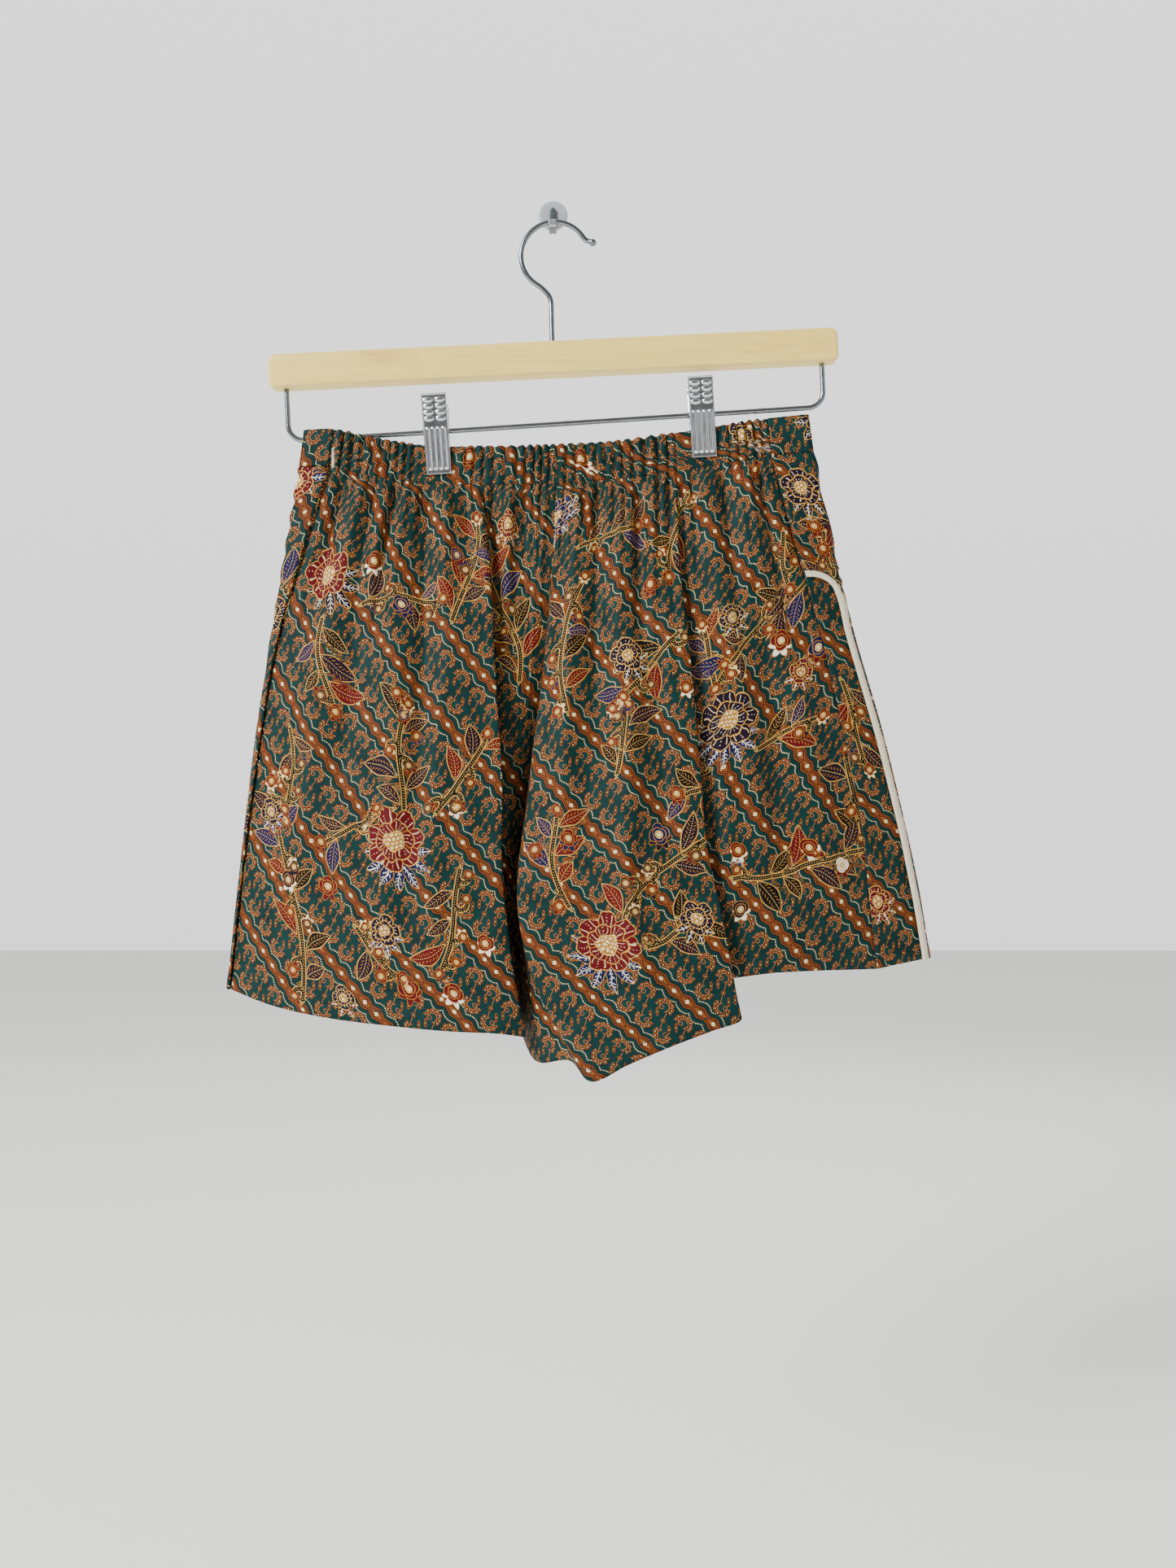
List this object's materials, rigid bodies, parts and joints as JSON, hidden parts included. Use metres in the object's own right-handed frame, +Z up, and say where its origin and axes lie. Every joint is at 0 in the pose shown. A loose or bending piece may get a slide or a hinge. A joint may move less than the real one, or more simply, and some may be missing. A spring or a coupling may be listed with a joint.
{
  "type": "batik skort on a clip hanger",
  "caption": "Printed batik skort with a gathered elastic back waist and a bound skirt front, clipped to a wooden skirt hanger on a wall hook.",
  "frame": {"origin": "centre of the wall disc's flat back, on the wall plane", "axes": "+X to the right as the skort's back is seen, +Y into the wall, +Z up"},
  "size_m": [0.4526, 0.0754, 0.5547],
  "materials": {
    "batik_cotton": "printed cotton, slight sheen",
    "cream_binding": "plain weave binding",
    "light_wood": "pale wood, satin lacquer",
    "wire": "polished plating",
    "clip_sheet": "bright zinc plating",
    "spring_wire": "bare spring wire",
    "disc_plastic": "frosted grey plastic",
    "hook_metal": "dark grey"
  },
  "bodies": {
    "root": {"shorts_back_left": "batik_cotton", "shorts_back_right": "batik_cotton", "shorts_front_left": "batik_cotton", "shorts_front_right": "batik_cotton", "skirt_front": "batik_cotton", "skirt_binding": "cream_binding", "waistband_back": "batik_cotton", "waistband_front": "batik_cotton", "hanger_bar": "light_wood", "hanger_hook": "wire", "hanger_rail": "wire", "clip_left_outer_jaw": "clip_sheet", "clip_left_inner_jaw": "clip_sheet", "clip_left_spring": "spring_wire", "clip_right_outer_jaw": "clip_sheet", "clip_right_inner_jaw": "clip_sheet", "clip_right_spring": "spring_wire", "wall_disc": "disc_plastic", "wall_hook": "hook_metal"}
  },
  "joints": []
}
